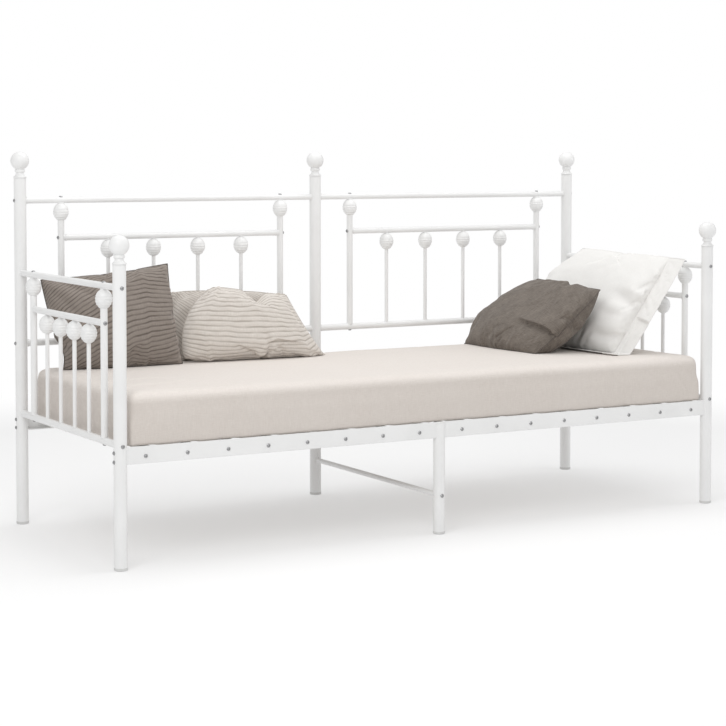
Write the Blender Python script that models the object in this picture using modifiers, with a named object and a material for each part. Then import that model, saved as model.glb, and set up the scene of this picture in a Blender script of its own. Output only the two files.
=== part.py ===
"""Metal daybed with a mattress and five pillows, in metres, +Z up.

The origin is on the floor under the middle of the bed. X runs along the bed, and +Y points to its back.
Run it with blender --background --python part.py, or from Blender's text editor.
"""

import math

import bmesh
import bpy
from mathutils import Matrix, Vector

# Driving dimensions
BED_LENGTH = 2.04  # between the axes of the end posts
BED_WIDTH = 0.77  # between the axes of the front and back posts
BACK_POST_HEIGHT = 1.057
FRONT_POST_HEIGHT = 0.832
GAP = 0.0003  # between pieces that touch

POST_RADIUS = 0.0185
POST_WALL = 0.0015
LEG_RADIUS = 0.0175
LEG_HEIGHT = 0.3325
RAIL_RADIUS = 0.0095
BOTTOM_RAIL_RADIUS = 0.0105
STILE_RADIUS = 0.010
TUBE_WALL = 0.0013
SPINDLE_RADIUS = 0.006
CROSSBAR_RADIUS = 0.0075
CROSSBAR_Z = 0.116

# Heights of the tubes' axes in the back panels and in the end panels
BACK_TOP_Z = 0.989
BACK_SUB_Z = 0.874
BACK_BOTTOM_Z = 0.554
ARM_Z = 0.769
ARM_SUB_Z = 0.666
ARM_BOTTOM_Z = 0.340

# Places across a panel, from its middle
BACK_STILE_OFFSET = 0.379
BACK_SPINDLE_PITCH = 0.1535
BACK_SPINDLE_SHIFT = 0.006  # the spindles sit this much nearer to the centre post
END_STILE_OFFSET = 0.275
END_SPINDLE_PITCH = 0.1085
SPINDLES = 4

BALL_WIDTH = 0.048  # cast ornaments on the stiles and spindles
BALL_HEIGHT = 0.056
STILE_BALL_RISE = 0.001  # a stile's ball comes this far past the stile's top end
FINIAL_BALL_RADIUS = 0.028
FINIAL_HEIGHT = 0.080
FINIAL_NECK_RADIUS = 0.0115
FINIAL_NECK_Z = 0.0215
COLLAR_RADIUS = 0.0195
COLLAR_HEIGHT = 0.007
FINIAL_PLUG = 0.025
CAP_DOME = 0.0036
CAP_SHOULDER_RADIUS = 0.011
CAP_SHOULDER = 0.0028
CAP_EDGE = 0.0006
CAP_PLUG = 0.012
PLUG_CLEARANCE = 0.0009  # round a plug, inside its tube

SIDE_RAIL_FACE = 0.010  # outer face of a side rail, out from the posts' axes
SIDE_RAIL_TOP = 0.3365
SIDE_RAIL_HEIGHT = 0.048
SIDE_RAIL_LEDGE = 0.024
SIDE_RAIL_THICKNESS = 0.0025

SLAT_PITCH = 0.125
FIRST_SLAT = 0.0745  # from the middle of the bed
SLATS_PER_HALF = 8
SLAT_WIDTH = 0.030
SLAT_LIP = 0.010
SLAT_TAB = 0.040
SLAT_NOTCH = 0.012  # from a lip to the end of the slat
SLAT_THICKNESS = 0.0015
SLAT_TOP = SIDE_RAIL_TOP - 0.0005

MATTRESS_LENGTH = 1.988
MATTRESS_FRONT = -0.391
MATTRESS_BACK = 0.356  # in front of the centre finial, so that the mattress lifts straight up
MATTRESS_BOTTOM = SIDE_RAIL_TOP + 0.001
MATTRESS_TOP = 0.481
MATTRESS_EDGE = 0.028
MATTRESS_EDGE_STEPS = 3

PILLOW_FOOT = MATTRESS_TOP + 0.0065
PILLOW_SEAM = 0.005  # half the thickness at the seam
PILLOW_SAG = 0.1  # how much fuller a pillow is at its bottom than at its middle
PILLOW_SQUARENESS = 2.6
PILLOW_EDGE = 0.58
PILLOW_CELLS = 8

POST_SIDES = 16
TUBE_SIDES = 10
SPINDLE_SIDES = 8
FINIAL_SIDES = 12
MERGE = 0.00001

HALF_LENGTH = BED_LENGTH / 2
HALF_WIDTH = BED_WIDTH / 2
RAIL_FACE_Y = HALF_WIDTH + SIDE_RAIL_FACE

WHITE_COAT = ((0.86, 0.86, 0.85), 0.38, 0.0)
STEEL_COAT = ((0.80, 0.80, 0.79), 0.45, 0.0)
CREAM_LINEN = ((0.72, 0.66, 0.60), 0.90, 0.0)
TAUPE_RIB = ((0.16, 0.14, 0.12), 0.92, 0.0)
SAND_RIB = ((0.58, 0.54, 0.48), 0.92, 0.0)
WHITE_COTTON = ((0.80, 0.79, 0.76), 0.88, 0.0)
GREY_LINEN = ((0.12, 0.11, 0.10), 0.92, 0.0)


def clear_scene():
    for obj in list(bpy.data.objects):
        bpy.data.objects.remove(obj, do_unlink=True)


def new_collection(name):
    found = bpy.data.collections.get(name) or bpy.data.collections.new(name)
    if found.name not in bpy.context.scene.collection.children:
        bpy.context.scene.collection.children.link(found)
    return found


def principled(name, look):
    color, roughness, metallic = look
    mat = bpy.data.materials.new(name)
    mat.use_nodes = True
    shader = mat.node_tree.nodes["Principled BSDF"]
    shader.inputs["Base Color"].default_value = (*color, 1.0)
    shader.inputs["Roughness"].default_value = roughness
    shader.inputs["Metallic"].default_value = metallic
    return mat


def add_object(name, mesh, look=None):
    """A named sub-part with its own material, or a wire helper when it has no look."""
    obj = bpy.data.objects.new(name, mesh)
    if look is None:
        HELPERS.objects.link(obj)
        obj.hide_render = True
        obj.display_type = "WIRE"
    else:
        PARTS.objects.link(obj)
        obj.data.materials.append(principled(name, look))
    return obj


def frozen_mesh(obj, name):
    """The evaluated mesh of an object with its modifiers, welded, and the object removed."""
    graph = bpy.context.evaluated_depsgraph_get()
    graph.update()
    mesh = bpy.data.meshes.new_from_object(obj.evaluated_get(graph))
    mesh.name = name
    bm = bmesh.new()
    bm.from_mesh(mesh)
    bmesh.ops.remove_doubles(bm, verts=bm.verts, dist=MERGE)
    bm.to_mesh(mesh)
    bm.free()
    bpy.data.objects.remove(obj, do_unlink=True)
    return mesh


def turned(name, profile, sides, look=None, ring=False):
    """A shape turned about Z. The profile runs down the outer side; a ring profile closes on itself."""
    mesh = bpy.data.meshes.new(name)
    bm = bmesh.new()
    points = [bm.verts.new((radius, 0.0, height)) for radius, height in profile]
    for a, b in zip(points, points[1:]):
        bm.edges.new((a, b))
    if ring:
        bm.edges.new((points[-1], points[0]))
    bm.to_mesh(mesh)
    bm.free()
    obj = add_object(name, mesh, look)
    screw = obj.modifiers.new("Turn", "SCREW")
    screw.steps = screw.render_steps = sides
    screw.use_merge_vertices = True
    screw.merge_threshold = MERGE
    screw.use_smooth_shade = True
    return obj


def tube_profile(length, radius, wall):
    inner = radius - wall
    return [(radius, length), (radius, 0.0), (inner, 0.0), (inner, length)]


def ball_profile(centre, neck, points=4):
    """Outline of a cast ball on a tube, from its top neck down to its bottom neck."""
    half_width, half_height = BALL_WIDTH / 2, BALL_HEIGHT / 2
    start = math.acos(neck / half_width)
    angles = [start - 2 * start * k / (points + 1) for k in range(points + 2)]
    return [(half_width * math.cos(a), centre + half_height * math.sin(a)) for a in angles]


def lay_along(obj, start, direction):
    """Stands a piece that was made along +Z at start, pointing along direction."""
    obj.location = start
    obj.rotation_mode = "QUATERNION"
    obj.rotation_quaternion = Vector(direction).to_track_quat("Z", "Y")


def straight_tube(name, start, end, radius, look, wall=TUBE_WALL, sides=TUBE_SIDES):
    start, end = Vector(start), Vector(end)
    length = (end - start).length
    obj = turned(name, tube_profile(length, radius, wall), sides, look, ring=True)
    lay_along(obj, start, end - start)
    return obj


def make_posts():
    for row, y, height, places in (
        ("back", HALF_WIDTH, BACK_POST_HEIGHT, ("left", "centre", "right")),
        ("front", -HALF_WIDTH, FRONT_POST_HEIGHT, ("left", "right")),
    ):
        for place in places:
            x = {"left": -HALF_LENGTH, "centre": 0.0, "right": HALF_LENGTH}[place]
            profile = tube_profile(height, POST_RADIUS, POST_WALL)
            post = turned(f"{row}_post_{place}", profile, POST_SIDES, WHITE_COAT, ring=True)
            post.location = (x, y, 0.0)
            finial = turned(f"finial_{row}_{place}", finial_profile(), FINIAL_SIDES, WHITE_COAT)
            finial.location = (x, y, height + GAP)


def finial_profile():
    """Ball on a neck ring over a flared collar, with a plug that fits inside the post."""
    centre = FINIAL_HEIGHT - FINIAL_BALL_RADIUS
    ball = []
    for degrees in (90, 58, 28, 0, -28, -54):
        angle = math.radians(degrees)
        ball.append((FINIAL_BALL_RADIUS * math.cos(angle), centre + FINIAL_BALL_RADIUS * math.sin(angle)))
    ball[0] = (0.0, FINIAL_HEIGHT)
    collar = [(FINIAL_NECK_RADIUS, FINIAL_NECK_Z), (COLLAR_RADIUS, COLLAR_HEIGHT), (COLLAR_RADIUS, 0.0)]
    return ball + collar + plug_profile(POST_RADIUS, FINIAL_PLUG)


def plug_profile(tube_radius, depth):
    """The part of a cap or finial that goes down inside its tube."""
    radius = tube_radius - POST_WALL - PLUG_CLEARANCE
    return [(radius, 0.0), (radius, -depth), (0.0, -depth)]


def make_centre_leg():
    profile = tube_profile(LEG_HEIGHT, LEG_RADIUS, POST_WALL)
    leg = turned("front_centre_leg", profile, POST_SIDES, WHITE_COAT, ring=True)
    leg.location = (0.0, -HALF_WIDTH, 0.0)
    dome = [(0.0, CAP_DOME), (CAP_SHOULDER_RADIUS, CAP_SHOULDER), (LEG_RADIUS, CAP_EDGE), (LEG_RADIUS, 0.0)]
    cap = turned("centre_leg_cap", dome + plug_profile(LEG_RADIUS, CAP_PLUG), FINIAL_SIDES, WHITE_COAT)
    cap.location = (0.0, -HALF_WIDTH, LEG_HEIGHT + GAP)
    straight_tube(
        "crossbar",
        (0.0, -HALF_WIDTH + LEG_RADIUS + GAP, CROSSBAR_Z),
        (0.0, HALF_WIDTH - POST_RADIUS - GAP, CROSSBAR_Z),
        CROSSBAR_RADIUS,
        WHITE_COAT,
    )


def make_stile(name, foot, top_z, ball_z):
    """An upright tube with a cast ball close under its top end."""
    foot = Vector(foot)
    outer = ball_profile(ball_z - foot.z, STILE_RADIUS)
    length = top_z - foot.z
    outer = [(STILE_RADIUS, length)] + outer + [(STILE_RADIUS, 0.0)]
    bore = STILE_RADIUS - TUBE_WALL
    stile = turned(name, outer + [(bore, 0.0), (bore, length)], TUBE_SIDES, WHITE_COAT, ring=True)
    stile.location = foot
    return stile


def make_grille(name, start, end, spindle_feet, ball_z):
    """A sub-rail with the spindles that hang from it, joined into one welded piece."""
    start, end = Vector(start), Vector(end)
    length = (end - start).length
    profile = [(0.0, length), (RAIL_RADIUS, length), (RAIL_RADIUS, 0.0), (0.0, 0.0)]
    rail = turned(name, profile, TUBE_SIDES, WHITE_COAT)
    lay_along(rail, start, end - start)
    for number, foot in enumerate(spindle_feet, 1):
        foot = Vector(foot)
        height = start.z - foot.z
        outline = ball_profile(ball_z - foot.z, SPINDLE_RADIUS)
        outline = [(0.0, height), (SPINDLE_RADIUS, height)] + outline
        outline += [(SPINDLE_RADIUS, 0.0), (0.0, 0.0)]
        spindle = turned(f"{name}_join_{number}", outline, SPINDLE_SIDES)
        spindle.location = foot
        union = rail.modifiers.new(f"Spindle {number}", "BOOLEAN")
        union.operation = "UNION"
        union.object = spindle
    overrun = 0.01
    bore_profile = [
        (0.0, length + overrun),
        (RAIL_RADIUS - TUBE_WALL, length + overrun),
        (RAIL_RADIUS - TUBE_WALL, -overrun),
        (0.0, -overrun),
    ]
    bore = turned(f"{name}_bore", bore_profile, TUBE_SIDES)
    lay_along(bore, start, end - start)
    cut = rail.modifiers.new("Bore", "BOOLEAN")
    cut.operation = "DIFFERENCE"
    cut.object = bore
    return rail


def make_panel(name, middle, along, half_span, levels, stile_offset, spindles, top_name):
    """Two rails, two stiles and a grille, between two posts.

    The middle is on the floor; along is the direction of the rails, and half_span reaches a post's skin.
    """
    middle, along = Vector(middle), Vector(along)
    top_z, sub_z, bottom_z = levels

    def place(offset, z):
        return middle + along * offset + Vector((0.0, 0.0, z))

    reach = half_span - GAP
    straight_tube(f"{name}_{top_name}", place(-reach, top_z), place(reach, top_z), RAIL_RADIUS, WHITE_COAT)
    bottom_ends = place(-reach, bottom_z), place(reach, bottom_z)
    straight_tube(f"{name}_bottom_rail", *bottom_ends, BOTTOM_RAIL_RADIUS, WHITE_COAT)
    foot_z = bottom_z + BOTTOM_RAIL_RADIUS + GAP
    stile_top = top_z - RAIL_RADIUS - GAP
    stile_ball = stile_top - BALL_HEIGHT / 2 + STILE_BALL_RISE
    for number, offset in enumerate((-stile_offset, stile_offset), 1):
        make_stile(f"{name}_stile_{number}", place(offset, foot_z), stile_top, stile_ball)
    sub_reach = stile_offset - STILE_RADIUS - GAP
    spindle_ball = sub_z - RAIL_RADIUS - BALL_HEIGHT / 2
    feet = [place(offset, foot_z) for offset in spindles]
    make_grille(f"{name}_grille", place(-sub_reach, sub_z), place(sub_reach, sub_z), feet, spindle_ball)


def make_panels():
    places = [(k - (SPINDLES - 1) / 2) for k in range(SPINDLES)]
    for name, side in (("back_left", -1), ("back_right", 1)):
        shift = -side * BACK_SPINDLE_SHIFT
        make_panel(
            name,
            (side * HALF_LENGTH / 2, HALF_WIDTH, 0.0),
            (1, 0, 0),
            HALF_LENGTH / 2 - POST_RADIUS,
            (BACK_TOP_Z, BACK_SUB_Z, BACK_BOTTOM_Z),
            BACK_STILE_OFFSET,
            [k * BACK_SPINDLE_PITCH + shift for k in places],
            "top_rail",
        )
    for name, side in (("left_end", -1), ("right_end", 1)):
        make_panel(
            name,
            (side * HALF_LENGTH, 0.0, 0.0),
            (0, 1, 0),
            HALF_WIDTH - POST_RADIUS,
            (ARM_Z, ARM_SUB_Z, ARM_BOTTOM_Z),
            END_STILE_OFFSET,
            [k * END_SPINDLE_PITCH for k in places],
            "arm_rail",
        )


def angle_section(length):
    """An L section, its upright leg outside and its ledge at the bottom, extruded along X from its middle."""
    outline = [
        (0.0, 0.0),
        (SIDE_RAIL_LEDGE, 0.0),
        (SIDE_RAIL_LEDGE, SIDE_RAIL_THICKNESS),
        (SIDE_RAIL_THICKNESS, SIDE_RAIL_THICKNESS),
        (SIDE_RAIL_THICKNESS, SIDE_RAIL_HEIGHT),
        (0.0, SIDE_RAIL_HEIGHT),
    ]
    curve = bpy.data.curves.new("angle_outline", "CURVE")
    curve.dimensions = "2D"
    curve.fill_mode = "BOTH"
    curve.extrude = length / 2
    spline = curve.splines.new("POLY")
    spline.points.add(len(outline) - 1)
    for point, (depth, height) in zip(spline.points, outline):
        point.co = (depth, height, 0.0, 1.0)
    spline.use_cyclic_u = True
    guide = bpy.data.objects.new("angle_outline", curve)
    bpy.context.scene.collection.objects.link(guide)
    mesh = frozen_mesh(guide, "angle_section")
    axes = Matrix(((0, 0, 1), (1, 0, 0), (0, 1, 0))).to_4x4()
    mesh.transform(axes)
    return mesh


def make_side_rails():
    for row, face in (("front", -1), ("back", 1)):
        for half, side in (("left", -1), ("right", 1)):
            mesh = angle_section(HALF_LENGTH)
            if face > 0:
                mesh.transform(Matrix.Scale(-1.0, 4, (0, 1, 0)))
                mesh.flip_normals()
            rail = add_object(f"side_rail_{row}_{half}", mesh, WHITE_COAT)
            rail.location = (side * HALF_LENGTH / 2, face * RAIL_FACE_Y, SIDE_RAIL_TOP - SIDE_RAIL_HEIGHT)
            middle_radius = LEG_RADIUS if row == "front" else POST_RADIUS
            reach = 2 * SIDE_RAIL_HEIGHT
            for end, x, radius in (("post", side * HALF_LENGTH, POST_RADIUS), ("middle", 0.0, middle_radius)):
                skin = radius + GAP
                cope = [(0.0, reach), (skin, reach), (skin, -reach), (0.0, -reach)]
                cutter = turned(f"{rail.name}_{end}_cope", cope, POST_SIDES)
                cutter.location = (x, face * HALF_WIDTH, SIDE_RAIL_TOP)
                cut = rail.modifiers.new(f"Cope at the {end}", "BOOLEAN")
                cut.operation = "DIFFERENCE"
                cut.object = cutter


def slat_mesh():
    """A pressed strip: a flat top along Y, short lips down its sides and a bolting tab down at each end.

    The lips stop short of the tabs, so the corners stay open.
    """
    half_y = RAIL_FACE_Y - SIDE_RAIL_THICKNESS - GAP
    bm = bmesh.new()
    bmesh.ops.create_grid(bm, x_segments=1, y_segments=3, size=1.0)
    for vert in bm.verts:
        reach = half_y if abs(vert.co.y) > 0.5 else half_y - SLAT_NOTCH
        vert.co = (vert.co.x * SLAT_WIDTH / 2, math.copysign(reach, vert.co.y), 0.0)
    for edge in [e for e in bm.edges if e.is_boundary]:
        a, b = (v.co.copy() for v in edge.verts)
        is_tab = abs(a.x - b.x) > SLAT_WIDTH / 2
        is_lip = abs(a.y - b.y) > half_y
        if not (is_tab or is_lip):
            continue
        grown = bmesh.ops.extrude_edge_only(bm, edges=[edge])["geom"]
        new_verts = [g for g in grown if isinstance(g, bmesh.types.BMVert)]
        bmesh.ops.translate(bm, vec=(0.0, 0.0, -SLAT_TAB if is_tab else -SLAT_LIP), verts=new_verts)
    bmesh.ops.recalc_face_normals(bm, faces=bm.faces)
    if max(bm.faces, key=lambda f: f.calc_area()).normal.z < 0:
        bmesh.ops.reverse_faces(bm, faces=bm.faces)
    mesh = bpy.data.meshes.new("slat")
    bm.to_mesh(mesh)
    bm.free()
    return mesh


def make_slats():
    for number in range(2 * SLATS_PER_HALF):
        side = -1 if number < SLATS_PER_HALF else 1
        from_middle = SLATS_PER_HALF - 1 - number if side < 0 else number - SLATS_PER_HALF
        x = side * (FIRST_SLAT + from_middle * SLAT_PITCH)
        slat = add_object(f"slat_{number + 1:02d}", slat_mesh(), STEEL_COAT)
        slat.location = (x, 0.0, SLAT_TOP)
        shell = slat.modifiers.new("Sheet", "SOLIDIFY")
        shell.thickness = SLAT_THICKNESS
        shell.offset = -1.0
        shell.use_even_offset = True


def make_mattress():
    bm = bmesh.new()
    bmesh.ops.create_cube(bm, size=1.0)
    size = (MATTRESS_LENGTH, MATTRESS_BACK - MATTRESS_FRONT, MATTRESS_TOP - MATTRESS_BOTTOM)
    bmesh.ops.scale(bm, vec=size, verts=bm.verts)
    mesh = bpy.data.meshes.new("mattress")
    bm.to_mesh(mesh)
    bm.free()
    mattress = add_object("mattress", mesh, CREAM_LINEN)
    middle_y = (MATTRESS_FRONT + MATTRESS_BACK) / 2
    mattress.location = (0.0, middle_y, (MATTRESS_TOP + MATTRESS_BOTTOM) / 2)
    edge = mattress.modifiers.new("Soft edge", "BEVEL")
    edge.width = MATTRESS_EDGE
    edge.segments = MATTRESS_EDGE_STEPS


def make_pillow(name, corners, depths, look, bows=(0.0, 0.0, 0.0), back_sag=PILLOW_SAG):
    """A stuffed pillow: thin at its seam and full in its middle, standing on its straight bottom edge.

    The corners go round from the bottom left one, seen from the front. The depths are how far it bulges to
    the front and to the back. The bows are how far its left, right and top edges curve outwards between their
    corners, as a share of half its size. The back sags more than the front when back_sag is larger.
    """
    low_left, low_right, top_right, top_left = (Vector(c) for c in corners)
    normal = (low_right - low_left + top_right - top_left).cross(top_left - low_left + top_right - low_right)
    normal.normalize()
    left_bow, right_bow, top_bow = bows
    bm = bmesh.new()
    bmesh.ops.create_grid(bm, x_segments=PILLOW_CELLS, y_segments=PILLOW_CELLS, size=1.0)
    grown = bmesh.ops.extrude_face_region(bm, geom=list(bm.faces))["geom"]
    raised = {g for g in grown if isinstance(g, bmesh.types.BMVert)}
    for vert in bm.verts:
        a, b = vert.co.x, vert.co.y
        inside = max(0.0, (1.0 - abs(a) ** PILLOW_SQUARENESS) * (1.0 - abs(b) ** PILLOW_SQUARENESS))
        fullness = inside**PILLOW_EDGE
        bowed_a = a * (1.0 + (left_bow if a < 0 else right_bow) * (1.0 - b * b))
        bowed_b = b * (1.0 + top_bow * (1.0 - a * a)) if b > 0 else b
        u, v = (bowed_a + 1.0) / 2, (bowed_b + 1.0) / 2
        place = low_left.lerp(low_right, u).lerp(top_left.lerp(top_right, u), v)
        if vert in raised:
            depth = depths[0] * fullness * (1.0 - PILLOW_SAG * b) + PILLOW_SEAM
        else:
            depth = -depths[1] * fullness * (1.0 - back_sag * b) - PILLOW_SEAM
        vert.co = place + normal * depth
        vert.co.z = max(vert.co.z, PILLOW_FOOT - PILLOW_SEAM)
    bmesh.ops.recalc_face_normals(bm, faces=bm.faces)
    mesh = bpy.data.meshes.new(name)
    bm.to_mesh(mesh)
    bm.free()
    mesh.shade_smooth()
    return add_object(name, mesh, look)


def make_pillows():
    foot = PILLOW_FOOT
    make_pillow(
        "pillow_light_ribbed_back",
        ((-0.540, 0.333, foot), (-0.095, 0.333, foot), (-0.142, 0.333, 0.675), (-0.595, 0.333, 0.694)),
        (0.022, 0.018),
        SAND_RIB,
        bows=(0.0, 0.0, 0.09),
    )
    make_pillow(
        "pillow_light_ribbed_front",
        ((-0.514, 0.270, foot), (-0.045, 0.235, foot), (-0.172, 0.265, 0.677), (-0.450, 0.272, 0.712)),
        (0.056, 0.030),
        SAND_RIB,
        bows=(0.23, -0.05, 0.0),
    )
    make_pillow(
        "pillow_dark_ribbed",
        ((-0.940, 0.255, foot), (-0.548, 0.240, foot), (-0.586, 0.268, 0.790), (-0.987, 0.300, 0.751)),
        (0.058, 0.030),
        TAUPE_RIB,
        bows=(0.0, -0.04, -0.05),
    )
    make_pillow(
        "pillow_white_flanged",
        ((0.795, 0.315, foot), (0.800, -0.262, foot), (0.968, -0.337, 0.790), (0.968, 0.214, 0.802)),
        (0.048, 0.090),
        WHITE_COTTON,
        bows=(0.26, 0.03, 0.0),
        back_sag=0.6,
    )
    make_pillow(
        "pillow_dark_plain",
        ((0.545, 0.318, foot), (0.550, -0.085, foot), (0.772, -0.145, 0.686), (0.765, 0.196, 0.703)),
        (0.050, 0.080),
        GREY_LINEN,
        bows=(0.32, 0.11, -0.02),
    )


clear_scene()
PARTS = new_collection("daybed")
HELPERS = new_collection("helpers")
make_posts()
make_centre_leg()
make_side_rails()
make_panels()
make_slats()
make_mattress()
make_pillows()
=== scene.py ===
"""Looks of the metal daybed: enamelled tubes, cast balls, bolts, a fitted mattress and five pillows.

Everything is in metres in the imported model's frame: X runs along the bed, +Y points to its back and Z is up.
"""

import math

import bmesh
import bpy
import numpy as np
from mathutils import Matrix, Vector
from mathutils.bvhtree import BVHTree


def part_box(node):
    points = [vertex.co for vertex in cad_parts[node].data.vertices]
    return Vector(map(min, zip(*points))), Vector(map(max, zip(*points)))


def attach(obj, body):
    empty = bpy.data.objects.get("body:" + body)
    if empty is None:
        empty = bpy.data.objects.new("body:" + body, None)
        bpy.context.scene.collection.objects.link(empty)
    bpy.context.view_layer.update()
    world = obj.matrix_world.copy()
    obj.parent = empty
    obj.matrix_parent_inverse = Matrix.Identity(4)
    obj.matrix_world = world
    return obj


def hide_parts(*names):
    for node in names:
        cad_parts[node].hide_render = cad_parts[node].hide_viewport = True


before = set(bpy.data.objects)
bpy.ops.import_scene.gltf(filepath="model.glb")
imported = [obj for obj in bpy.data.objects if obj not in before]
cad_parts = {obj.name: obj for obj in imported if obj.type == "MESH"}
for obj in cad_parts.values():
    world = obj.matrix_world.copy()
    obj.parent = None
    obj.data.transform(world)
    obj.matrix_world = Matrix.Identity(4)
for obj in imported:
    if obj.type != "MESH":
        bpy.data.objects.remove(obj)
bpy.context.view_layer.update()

TAU = 2 * math.pi

# Tubes
RAIL_RADIUS = 0.0095
BOTTOM_RAIL_RADIUS = 0.0105
STILE_RADIUS = 0.010
SPINDLE_RADIUS = 0.006
CROSSBAR_RADIUS = 0.0075
POST_RADIUS = 0.0185
POST_SIDES, TUBE_SIDES, SPINDLE_SIDES = 40, 32, 28
INTO_POST = 0.007  # how far a tube runs into a post that it meets
INTO_STILE = 0.004
INTO_TUBE = 0.003  # how far a stile or spindle runs into a rail
WELD_BEAD = 0.0011
THIN_BEAD = 0.0009

SIDE_RAIL_WALL = 0.0025
SIDE_RAIL_REACH = 0.006, 1.010  # from the middle of the bed, into a post at each end
BACK_SPINDLE_PITCH = 0.1535
BACK_SPINDLE_SHIFT = 0.006
END_SPINDLE_PITCH = 0.1085

BALL_RADIUS = 0.024
BALL_HALF_HEIGHT = 0.028
GROOVE_DEPTH = 0.0014
BALL_GROOVES = (0.0062, -0.0022, -0.0106, -0.0184)  # heights from the ball's middle
FINIAL_HEIGHT = 0.080
FINIAL_BALL_RADIUS = 0.028

BOLT_RADIUS = 0.0058
BOLT_HEIGHT = 0.0032
SIDE_RAIL_BOLTS = 0.008, 0.033  # heights of the two bolts that hold a side rail's end, above its bottom

FIRST_SLAT = 0.0745
SLAT_PITCH = 0.125
SLATS_PER_HALF = 8


# ---- meshes


def lathe(profile, sides):
    """A shape turned about Z from (radius, height) points. A radius of 0 makes a pole."""
    verts, faces, rings = [], [], []
    for radius, height in profile:
        start = len(verts)
        count = sides if radius > 0 else 1
        for k in range(count):
            angle = TAU * k / sides
            verts.append(Vector((radius * math.cos(angle), radius * math.sin(angle), height)))
        rings.append([start + k % count for k in range(sides + 1)])
    for low, high in zip(rings, rings[1:]):
        for k in range(sides):
            corners = dict.fromkeys((low[k], low[k + 1], high[k + 1], high[k]))
            if len(corners) > 2:
                faces.append(tuple(corners))
    return verts, faces


def placed(shape, matrix):
    """The shape moved by a matrix."""
    verts, faces = shape
    return [matrix @ v for v in verts], faces


def turned(profile, place, sides=POST_SIDES):
    """A lathed shape that stands at a place."""
    return placed(lathe(profile, sides), Matrix.Translation(place))


def joined(*shapes):
    verts, faces = [], []
    for new_verts, new_faces in shapes:
        start = len(verts)
        verts += new_verts
        faces += [tuple(start + i for i in face) for face in new_faces]
    return verts, faces


def pointing(place, direction):
    """The matrix that stands a shape made along +Z at place, pointing along direction."""
    turn = Vector(direction).to_track_quat("Z", "Y").to_matrix().to_4x4()
    return Matrix.Translation(Vector(place)) @ turn


def rod(start, end, radius):
    start, end = Vector(start), Vector(end)
    length = (end - start).length
    profile = [(0, 0), (radius, 0), (radius, length), (0, length)]
    return placed(lathe(profile, TUBE_SIDES), pointing(start, end - start))


def sweep(points, radius, sides=6):
    """A round bead along a closed line of points. radius may differ from point to point."""
    points = np.asarray(points, float)
    count = len(points)
    tangents = np.roll(points, -1, 0) - np.roll(points, 1, 0)
    tangents /= np.linalg.norm(tangents, axis=1)[:, None]
    side = np.cross(tangents[0], (0.31, 0.17, 0.93))
    verts, faces = [], []
    for place, tangent, size in zip(points, tangents, np.broadcast_to(radius, count)):
        side = side - tangent * (side @ tangent)
        side /= np.linalg.norm(side)
        other = np.cross(tangent, side)
        for k in range(sides):
            angle = TAU * k / sides
            verts.append(Vector(place + size * (math.cos(angle) * side + math.sin(angle) * other)))
    for i in range(count):
        a, b = i * sides, (i + 1) % count * sides
        for k in range(sides):
            n = (k + 1) % sides
            faces.append((a + k, a + n, b + n, b + k))
    return verts, faces


def mesh_of(name, verts, faces):
    mesh = bpy.data.meshes.new(name)
    mesh.from_pydata([tuple(v) for v in verts], [], [tuple(f) for f in faces])
    return mesh


def added(name, data):
    """A new object in the scene."""
    made = bpy.data.objects.new(name, data)
    bpy.context.scene.collection.objects.link(made)
    return made


def add_piece(name, shape, material, body="frame", replaces=()):
    """A shown piece that rides on a CAD body."""
    mesh = mesh_of(name, *shape)
    bm = bmesh.new()
    bm.from_mesh(mesh)
    bmesh.ops.recalc_face_normals(bm, faces=bm.faces)
    bm.to_mesh(mesh)
    bm.free()
    mesh.shade_smooth()
    mesh.set_sharp_from_angle(angle=math.radians(38))
    mesh.materials.append(material)
    piece = added(name, mesh)
    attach(piece, body)
    if replaces:
        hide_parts(*replaces)


# ---- materials


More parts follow.
